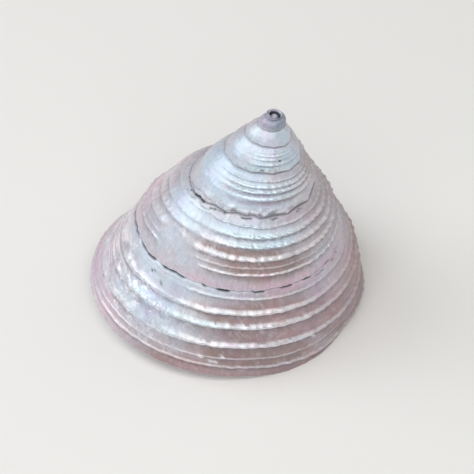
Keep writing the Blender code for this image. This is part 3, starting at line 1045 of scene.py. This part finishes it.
def build_hollow(surface):
    """The inside of the tube, from the lip back to its rounded end. Returns its first ring.

    A rounded four-sided section, blended between the base below and the base of one turn
    before, which is the roof.
    """
    steps = np.arange(0, round(HOLLOW_TURNS * TICKS) + 1, HOLLOW_STEP)
    turns = LIP_TURN - steps / TICKS
    ends = turns[-1] - np.cumsum(HOLLOW_END_SIZES) * HOLLOW_END_STEP
    turn = np.concatenate([turns, ends])[:, None]
    size = np.append(np.ones(len(turns)), HOLLOW_END_SIZES)[:, None]
    angles = 2.0 * np.pi * np.arange(HOLLOW_POINTS)[None, :] / HOLLOW_POINTS
    across = rounded_span(np.cos(angles), HOLLOW_ACROSS, size)
    up = rounded_span(np.sin(angles), HOLLOW_UP, size)
    inward = (1.0 - across) * FUNNEL_EDGE
    floor_radius, floor_height = base_place(turn - SLANT, inward)
    roof_radius, roof_height = base_place(turn - 1.0, inward)
    radius = floor_radius + (roof_radius - floor_radius) * up
    height = floor_height + (roof_height - floor_height) * up
    points = place(turn - SLANT * (1.0 - up), radius, height)
    pink = 0.5 + 0.5 * noise(turn * 9.0, up * 3.0, 81)
    marks = marks_of(along=turn * 40.0 * MM, down=-up * 15.0 * MM, pink=pink, **HOLLOW_LOOK)
    rings = surface.add(points, marks)
    surface.grid(rings, closed=True)
    surface.cap(rings[-1], points[-1].mean(axis=0), marks)
    return rings[0]


def build_lip(surface, wall_chain, wall_places, under, over, ring):
    """The lip: four strips from the shell's outer edges to the mouth of the hollow."""
    quarter = HOLLOW_POINTS // 4
    corner = HOLLOW_POINTS // 8
    sides = (
        (wall_chain, wall_places),
        (under[:-1], None),
        (np.array([under[-2], under[-1], over[-2]]), None),
        (over[:-1][::-1], None),
    )
    for side, (outer, places) in enumerate(sides):
        inner = ring[(corner - side * quarter - np.arange(quarter + 1)) % HOLLOW_POINTS]
        if places is None:
            places = np.linspace(0.0, 1.0, len(outer))
        surface.zip(outer, inner, places, np.linspace(0.0, 1.0, len(inner)))


def stand_up(points, sizes):
    """Leans the shell as it rests, sets it on the ground and wears its lowest edge flat.

    Heights below a small one fall towards the ground as an exponential, so none is below it and
    none of the surface folds over.
    """
    lean = Matrix.Rotation(-sizes.lean_back, 3, 'X') @ Matrix.Rotation(sizes.lean_right, 3, 'Y')
    points = points @ np.array(lean).T
    low = points.min(axis=0)
    high = points.max(axis=0)
    middle = 0.5 * (np.array(CAD_BOX[0]) + np.array(CAD_BOX[1]))
    shift = middle - 0.5 * (low + high)
    shift[2] = CAD_BOX[0].z - low[2] - WORN_LAND
    points = points + shift
    over = np.minimum((points[:, 2] - CAD_BOX[0].z) / WORN_EDGE - 1.0, 0.0)
    worn_down = CAD_BOX[0].z + WORN_EDGE * np.exp(over)
    points[:, 2] = np.where(over < 0.0, worn_down, points[:, 2])
    return points


def mesh_from(surface, name, sizes):
    """The finished mesh, its faces turned outwards, with the marks as attributes."""
    mesh = bpy.data.meshes.new(name)
    points = stand_up(np.concatenate(surface.points), sizes)
    mesh.from_pydata(points, [], np.concatenate(surface.triangles))
    solid = bmesh.new()
    solid.from_mesh(mesh)
    bmesh.ops.recalc_face_normals(solid, faces=solid.faces)
    solid.to_mesh(mesh)
    solid.free()
    marks = np.concatenate(surface.marks)
    for k, mark in enumerate(MARKS):
        attribute = mesh.attributes.new(mark, 'FLOAT', 'POINT')
        attribute.data.foreach_set("value", marks[:, k].astype(np.float32))
    mesh.shade_smooth()
    return mesh


class Tree:
    """Adds nodes to a node tree. Inputs are sockets or values alike, and outputs come back."""

    def __init__(self, tree):
        self.tree = tree

    def feed(self, socket, value):
        """Links an input to a socket, or sets its value."""
        if isinstance(value, bpy.types.NodeSocket):
            self.tree.links.new(value, socket)
        else:
            socket.default_value = value

    def node(self, kind, inputs=(), **settings):
        """A node of a kind, with its settings and what feeds its inputs, by name or number."""
        node = self.tree.nodes.new("ShaderNode" + kind)
        for name, value in settings.items():
            setattr(node, name, value)
        for name, value in dict(inputs).items():
            self.feed(node.inputs[name], value)
        return node

    def math(self, operation, *values, clamp=False):
        """The output of a Math node."""
        return self.node("Math", enumerate(values), operation=operation, use_clamp=clamp).outputs[0]

    def times(self, first, second):
        """The product of two."""
        return self.math('MULTIPLY', first, second)

    def line(self, value, factor, addend, clamp=False):
        """A value times a factor, plus an addend."""
        return self.math('MULTIPLY_ADD', value, factor, addend, clamp=clamp)

    def rest(self, value):
        """What a mask leaves: 1 less it."""
        return self.math('SUBTRACT', 1.0, value)

    def mix(self, factor, first, second, blend='MIX'):
        """The output of a Mix node for colours."""
        inputs = {0: factor, 6: first, 7: second}
        return self.node("Mix", inputs, data_type='RGBA', blend_type=blend).outputs[2]

    def noise(self, vector, scale, detail=2.0, roughness=0.5):
        """The value of a Noise Texture node."""
        inputs = {"Vector": vector, "Scale": scale, "Detail": detail, "Roughness": roughness}
        return self.node("TexNoise", inputs).outputs["Fac"]

    def effect(self, group, **inputs):
        """The outputs of a node group placed here."""
        return self.node("Group", inputs, node_tree=group).outputs


class Effect(Tree):
    """A new shader node group, made of its input and output sockets by name and kind."""

    def __init__(self, name, inputs, outputs):
        super().__init__(bpy.data.node_groups.new(name, 'ShaderNodeTree'))
        for label, kind in inputs.items():
            self.tree.interface.new_socket(label, in_out='INPUT', socket_type='NodeSocket' + kind)
        for label, kind in outputs.items():
            self.tree.interface.new_socket(label, in_out='OUTPUT', socket_type='NodeSocket' + kind)
        self.given = self.tree.nodes.new("NodeGroupInput").outputs
        self.results = self.tree.nodes.new("NodeGroupOutput").inputs

    def stretched(self, along_pace, down_pace):
        """The along and down marks times a pace each, and both as a vector."""
        along = self.times(self.given["Along"], along_pace)
        down = self.times(self.given["Down"], down_pace)
        return along, down, self.node("CombineXYZ", {0: along, 1: down}).outputs[0]


def growth_lines():
    """Node group: fine growth lines across the whorls, from the along and down marks."""
    effect = Effect("growth lines", {"Along": 'Float', "Down": 'Float'}, {"Lines": 'Float'})
    _along, _down, vector = effect.stretched(*GROWTH_LINE_STEPS)
    effect.feed(effect.results["Lines"], effect.noise(vector, 1.0, 3.0))
    return effect.tree


def pearl_shift():
    """Node group: the slow drift of pearl colours over the surface, from its place in space."""
    effect = Effect("pearl shift", {"Place": 'Vector'}, {"Colour": 'Color', "Cloud": 'Float'})
    place_in = effect.given["Place"]
    broad = effect.noise(place_in, PEARL_STEPS[0], 1.0)
    close = effect.noise(place_in, PEARL_STEPS[1])
    drift = effect.math('ADD', effect.times(broad, 0.55), effect.times(close, 0.45))
    ramp = effect.node("ValToRGB", {"Fac": drift})
    while len(ramp.color_ramp.elements) < len(PEARL_STOPS):
        ramp.color_ramp.elements.new(0.5)
    for element, (position, colour) in zip(ramp.color_ramp.elements, PEARL_STOPS):
        element.position = position
        element.color = colour
    effect.feed(effect.results["Colour"], ramp.outputs["Color"])
    effect.feed(effect.results["Cloud"], effect.noise(place_in, CLOUD_STEPS, 3.0, 0.6))
    return effect.tree


def flakes():
    """Node group: small scales, some white and some dull, as cells with wandering edges.

    Each cell's own chance number and streaks of noise add up to a value, and two clamped lines
    of it give the masks.
    """
    effect = Effect("flakes", {"Along": 'Float', "Down": 'Float'}, {"White": 'Float', "Dull": 'Float'})
    along, down, vector = effect.stretched(*FLAKE_STEPS)
    wander = effect.line(effect.noise(vector, 2.2), 2.0, -1.0)
    moved = {0: effect.math('ADD', along, wander), 1: effect.math('SUBTRACT', down, wander)}
    moved = effect.node("CombineXYZ", moved).outputs[0]
    cells = effect.node("TexVoronoi", {"Vector": moved, "Scale": 1.0}).outputs["Color"]
    parts = effect.node("SeparateColor", {0: cells})
    streaks = effect.noise(vector, 2.0, 3.0, 0.6)
    value = effect.math('ADD', effect.times(parts.outputs[0], 0.45), effect.times(streaks, 0.55))
    for name, line in FLAKE_MASKS.items():
        effect.feed(effect.results[name], effect.line(value, *line, clamp=True))
    return effect.tree


def suture_line():
    """Node group: the suture's dark line, dirt and painted shade, wider where it gapes, from down and
    gap.
    """
    effect = Effect("suture line", {"Down": 'Float', "Gap": 'Float'}, {"Line": 'Float'})
    gap = effect.given["Gap"]
    middle = effect.line(gap, *SEAM_MIDDLE)
    half_width = effect.line(gap, *SEAM_HALF_WIDTH)
    away = effect.math('ABSOLUTE', effect.math('SUBTRACT', effect.given["Down"], middle))
    line = effect.math('SUBTRACT', 1.3, effect.math('DIVIDE', away, half_width), clamp=True)
    line = effect.math('MULTIPLY', line, effect.line(gap, *SEAM_STRENGTH), clamp=True)
    effect.feed(effect.results["Line"], line)
    return effect.tree


def new_material(name):
    """A material: itself, a Tree on it, its shader's inputs and the place on the object."""
    material = bpy.data.materials.new(name)
    material.use_nodes = True
    tree = Tree(material.node_tree)
    shader = material.node_tree.nodes["Principled BSDF"]
    return material, tree, shader.inputs, tree.node("TexCoord").outputs["Object"]


def nacre(colours):
    """Polished nacre: tints by zone, painted highlights on cords, specks, dirt and painted shade in
    cracks.
    """
    material, tree, shader, where = new_material("nacre")
    marks = {name: tree.node("Attribute", attribute_name=name).outputs["Fac"] for name in MARKS}
    wall_place = {"Along": marks["along"], "Down": marks["down"]}
    pearl = tree.effect(pearl_shift(), Place=where)
    lines = tree.effect(growth_lines(), **wall_place)["Lines"]
    seam = tree.effect(suture_line(), Down=marks["down"], Gap=marks["gap"])["Line"]
    flake = tree.effect(flakes(), **wall_place)
    cloud = pearl["Cloud"]

    def paint(name):
        """A colour of the settings with its alpha."""
        return *getattr(colours, name), 1.0

    def coat(colour, *layers):
        """The colour with layers of paint mixed over it, each by its mask."""
        for mask, name in layers:
            colour = tree.mix(mask, colour, paint(name))
        return colour

    # Tints over the ground: painted tan shade, pinkish and cold tones partly painted reflection,
    # grey-blue tone with painted shade in grooves, and painted shade below the cords
    colour = coat(
        paint("body"),
        (marks["warm"], "shaded_tan"),
        (tree.times(marks["pink"], PAINTS["lilac_tone_and_reflection"]), "lilac_tone_and_reflection"),
        (tree.times(marks["cool"], tree.rest(marks["warm"])), "ice_tone_and_reflection"),
        (marks["slate"], "slate"),
        (tree.times(marks["shade"], PAINTS["shade"]), "shade"),
    )
    # Painted highlight on the cords, tinted cold by the sky and tan on each whorl's shaded right
    crest = coat(paint("crest"), (marks["cool"], "cold_highlight"), (marks["cream"], "cream"))
    colour = tree.mix(tree.times(marks["crest"], PAINTS["crest"]), colour, crest)
    colour = tree.mix(PAINTS["pearl"], colour, pearl["Colour"], 'MULTIPLY')
    dull = tree.times(flake["Dull"], marks["scale"])
    colour = coat(
        colour,
        (tree.times(flake["White"], marks["scale"]), "crest"),
        (tree.times(dull, PAINTS["dull"]), "dull"),
    )

    grain = tree.times(tree.line(cloud, *CLOUD_GREY), tree.line(lines, *LINES_GREY))
    pepper = tree.line(tree.noise(where, PEPPER_STEPS), *PEPPER_GREY)
    colour = tree.mix(1.0, colour, tree.times(grain, pepper), 'MULTIPLY')
    # Dirt and painted shade in pits, cracks, the tip's hole and the suture's dark line
    dirt_and_shade = tree.math('MAXIMUM', marks["crevice"], seam)
    tree.feed(shader["Base Color"], coat(colour, (dirt_and_shade, "crevice")))

    matt = tree.times(marks["warm"], tree.rest(marks["crest"]))
    polish = tree.times(marks["crest"], tree.rest(marks["cream"]))
    rough = tree.line(cloud, *CLOUD_ROUGHNESS)
    rough = tree.math('SUBTRACT', rough, tree.times(polish, POLISH_SMOOTHS))
    rough = tree.math('ADD', rough, tree.times(dirt_and_shade, DIRT_ROUGHENS))
    rough = tree.math('ADD', rough, tree.times(matt, MATT_ROUGHENS))
    tree.feed(shader["Roughness"], rough)
    metal = tree.times(tree.line(polish, *POLISH_METAL), tree.rest(matt))
    tree.feed(shader["Metallic"], tree.times(tree.rest(dirt_and_shade), metal))

    height = tree.math('ADD', lines, cloud)
    bump = tree.node("Bump", {"Strength": BUMP_STRENGTH, "Distance": BUMP_HEIGHT, "Height": height})
    tree.feed(shader["Normal"], bump.outputs["Normal"])
    shader["IOR"].default_value = 1.6
    shader["Coat Weight"].default_value = 0.30
    shader["Coat Roughness"].default_value = 0.20
    return material


def plain_material(name, colour, roughness):
    """A plain floor finish with a faint unevenness, so that it isn't a flat colour."""
    material, tree, shader, where = new_material(name)
    darker = (*(0.97 * c for c in colour), 1.0)
    tree.feed(shader["Base Color"], tree.mix(tree.noise(where, 6.0), (*colour, 1.0), darker))
    shader["Roughness"].default_value = roughness
    shader["Specular IOR Level"].default_value = 0.2
    return material


def show(name, data):
    """An object of this data in the scene."""
    shown = bpy.data.objects.new(name, data)
    bpy.context.scene.collection.objects.link(shown)
    return shown


def area_light(name, power):
    """A soft rectangular light of the LIGHTS, faced to the middle of the shell."""
    place_at, size, colour = LIGHTS[name]
    data = bpy.data.lights.new(name, 'AREA')
    data.shape = 'RECTANGLE'
    data.size, data.size_y = size
    data.energy = power
    data.color = colour
    light = show(name, data)
    light.location = place_at
    light.rotation_euler = (Vector(LIGHTS_FACE) - Vector(place_at)).to_track_quat('-Z', 'Y').to_euler()


def place_camera(scene):
    """The photo's viewpoint: a target, a distance along the elevation, and a small roll."""
    data = bpy.data.cameras.new("camera")
    data.sensor_width = SENSOR
    data.lens = FOCAL_PIXELS / PICTURE_SIDE * SENSOR
    data.clip_start = 0.01
    camera = show("camera", data)
    back = Vector((0.0, -np.cos(CAMERA_ELEVATION), np.sin(CAMERA_ELEVATION)))
    turn = back.to_track_quat('Z', 'Y').to_matrix() @ Matrix.Rotation(CAMERA_ROLL, 3, 'Z')
    camera.location = CAMERA_TARGET + CAMERA_DISTANCE * back
    camera.rotation_euler = turn.to_euler()
    scene.camera = camera


def colour_setting(name, description, default):
    """A colour that a user may change."""
    return FloatVectorProperty(name=name, description=description, default=default, subtype='COLOR')


def number_setting(name, description, default, **kind):
    """A number that a user may change, with its unit or subtype."""
    return FloatProperty(name=name, description=description, default=default, **kind)


class ShellSizes(bpy.types.PropertyGroup):
    """Sizes of the shell that a user would change."""

    rim_radius: number_setting(
        "Rim radius",
        "Radius of the last whorl's rim at turn 0",
        RIM_SHARE_OF_WIDTH * (CAD_BOX[1].x - CAD_BOX[0].x),
        unit='LENGTH',
    )
    lean_right: number_setting(
        "Lean to the right",
        "Lean of the axis away from the lip, as the shell rests",
        np.radians(10.4),
        subtype='ANGLE',
    )
    lean_back: number_setting(
        "Lean to the back",
        "Lean of the axis away from the camera, as the shell rests",
        np.radians(-0.75),
        subtype='ANGLE',
    )


class NacreColours(bpy.types.PropertyGroup):
    """Colours of the polished surface."""

    body: colour_setting("Body", "Silvery ground", (0.56, 0.545, 0.61))
    # Painted shade and dim reflection on the flat bands at the front
    shaded_tan: colour_setting("Sand", "Flat bands at the front", (0.285, 0.192, 0.180))
    # Pinkish tone of the pearl, partly a painted reflection at the left
    lilac_tone_and_reflection: colour_setting("Lilac", "Pink sheen at the left", (0.66, 0.48, 0.58))
    # Painted reflection of the sky on the upper whorls, and a cold tone of the pearl
    ice_tone_and_reflection: colour_setting("Ice", "Cold white of the upper whorls", (0.60, 0.71, 0.82))
    # Painted highlight on the cords' upper flanks; also the white of chips, hems and scales
    crest: colour_setting("Crests", "Polished tops of the cords", (0.95, 0.94, 0.98))
    shade: colour_setting("Shade", "Shadowed line below the cords", (0.20, 0.17, 0.19))
    # Painted highlight tinted by the cold reflection of the sky
    cold_highlight: colour_setting("Frost", "Polished tops in the cold light", (0.68, 0.84, 0.90))
    dull: colour_setting("Dull", "Dull streaks between the scales", (0.34, 0.30, 0.36))
    # Painted shade on the cords' tops at the right of each whorl, where less light falls
    cream: colour_setting("Cream", "Tops of the cords at the right", (0.66, 0.585, 0.55))
    # Grey-blue tone of the tip, and painted shade in grooves
    slate: colour_setting("Slate", "Tip and grey bands", (0.27, 0.32, 0.42))
    # Dirt together with painted shade in sutures, pits, cracks and the tip's hole
    crevice: colour_setting("Crevices", "Dirt in sutures and pits", (0.030, 0.040, 0.045))


class StudioSettings(bpy.types.PropertyGroup):
    """The floor and the lights."""

    floor_colour: colour_setting("Floor", "Pale floor", (0.85, 0.84, 0.82))
    floor_size: number_setting("Floor size", "Side of the floor", 6.0, unit='LENGTH')
    key: number_setting("Key light", "Power of the light at the left", 2.8, unit='POWER')
    fill: number_setting("Fill light", "Power of the light at the right", 2.4, unit='POWER')
    sky: number_setting("Sky light", "Power of the broad light above the front", 6.6, unit='POWER')
    ambient: number_setting("Ambient", "Strength of the pale surroundings", 0.30)


class SHELL_OT_shell(bpy.types.Operator):
    """Models the shell in place of its plain solid"""

    bl_idname = "shell.shell"
    bl_label = "Shell"

    def execute(self, context):
        surface = Surface()
        first_column, last_column, places, rim_ticks, rims = build_wall(surface)
        close_tip(surface, first_column, rim_ticks, rims)
        over, under = build_base(surface, rim_ticks, rims)
        ring = build_hollow(surface)
        build_lip(surface, last_column, places, under, over, ring)
        mesh = mesh_from(surface, "top_shell", context.scene.shell_sizes)
        mesh.materials.append(nacre(context.scene.nacre_colours))
        shell = show("top_shell", mesh)
        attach(shell, "root")
        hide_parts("shell")
        return {'FINISHED'}


class SHELL_OT_studio(bpy.types.Operator):
    """Lays the floor and sets the lights and the camera"""

    bl_idname = "shell.studio"
    bl_label = "Studio"

    def execute(self, context):
        settings = context.scene.studio_settings
        half = 0.5 * settings.floor_size
        corners = [(-half, -half, 0.0), (half, -half, 0.0), (half, half, 0.0), (-half, half, 0.0)]
        mesh = bpy.data.meshes.new("floor")
        mesh.from_pydata(corners, [], [(0, 1, 2, 3)])
        mesh.materials.append(plain_material("floor", settings.floor_colour, FLOOR_ROUGHNESS))
        show("floor", mesh)
        for name in LIGHTS:
            area_light(name, getattr(settings, name))

        world = bpy.data.worlds.new("studio")
        world.use_nodes = True
        background = world.node_tree.nodes["Background"].inputs
        background["Color"].default_value = SURROUNDINGS
        background["Strength"].default_value = settings.ambient
        context.scene.world = world
        context.scene.view_settings.view_transform = 'Standard'
        place_camera(context.scene)
        return {'FINISHED'}


class SHELL_PT_panel(bpy.types.Panel):
    """Sizes, colours and buttons of the top shell"""

    bl_idname = "SHELL_PT_panel"
    bl_label = "Top shell"
    bl_space_type = 'VIEW_3D'
    bl_region_type = 'UI'
    bl_category = "Top shell"

    def draw(self, context):
        for name in SETTINGS:
            settings = getattr(context.scene, name)
            for field in settings.bl_rna.properties:
                if field.identifier not in ("rna_type", "name"):
                    self.layout.prop(settings, field.identifier)
        self.layout.operator("shell.shell")
        self.layout.operator("shell.studio")


SETTINGS = {"shell_sizes": ShellSizes, "nacre_colours": NacreColours, "studio_settings": StudioSettings}
CLASSES = (*SETTINGS.values(), SHELL_OT_shell, SHELL_OT_studio, SHELL_PT_panel)


def register():
    """Registers the classes and hangs their settings on the scene."""
    for cls in CLASSES:
        bpy.utils.register_class(cls)
    for name, cls in SETTINGS.items():
        setattr(bpy.types.Scene, name, PointerProperty(type=cls))


def unregister():
    """Takes the settings and the classes away again."""
    for name in SETTINGS:
        delattr(bpy.types.Scene, name)
    for cls in reversed(CLASSES):
        bpy.utils.unregister_class(cls)


def main():
    register()
    bpy.ops.shell.studio()
    bpy.ops.shell.shell()
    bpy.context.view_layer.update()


if __name__ == "__main__":
    main()
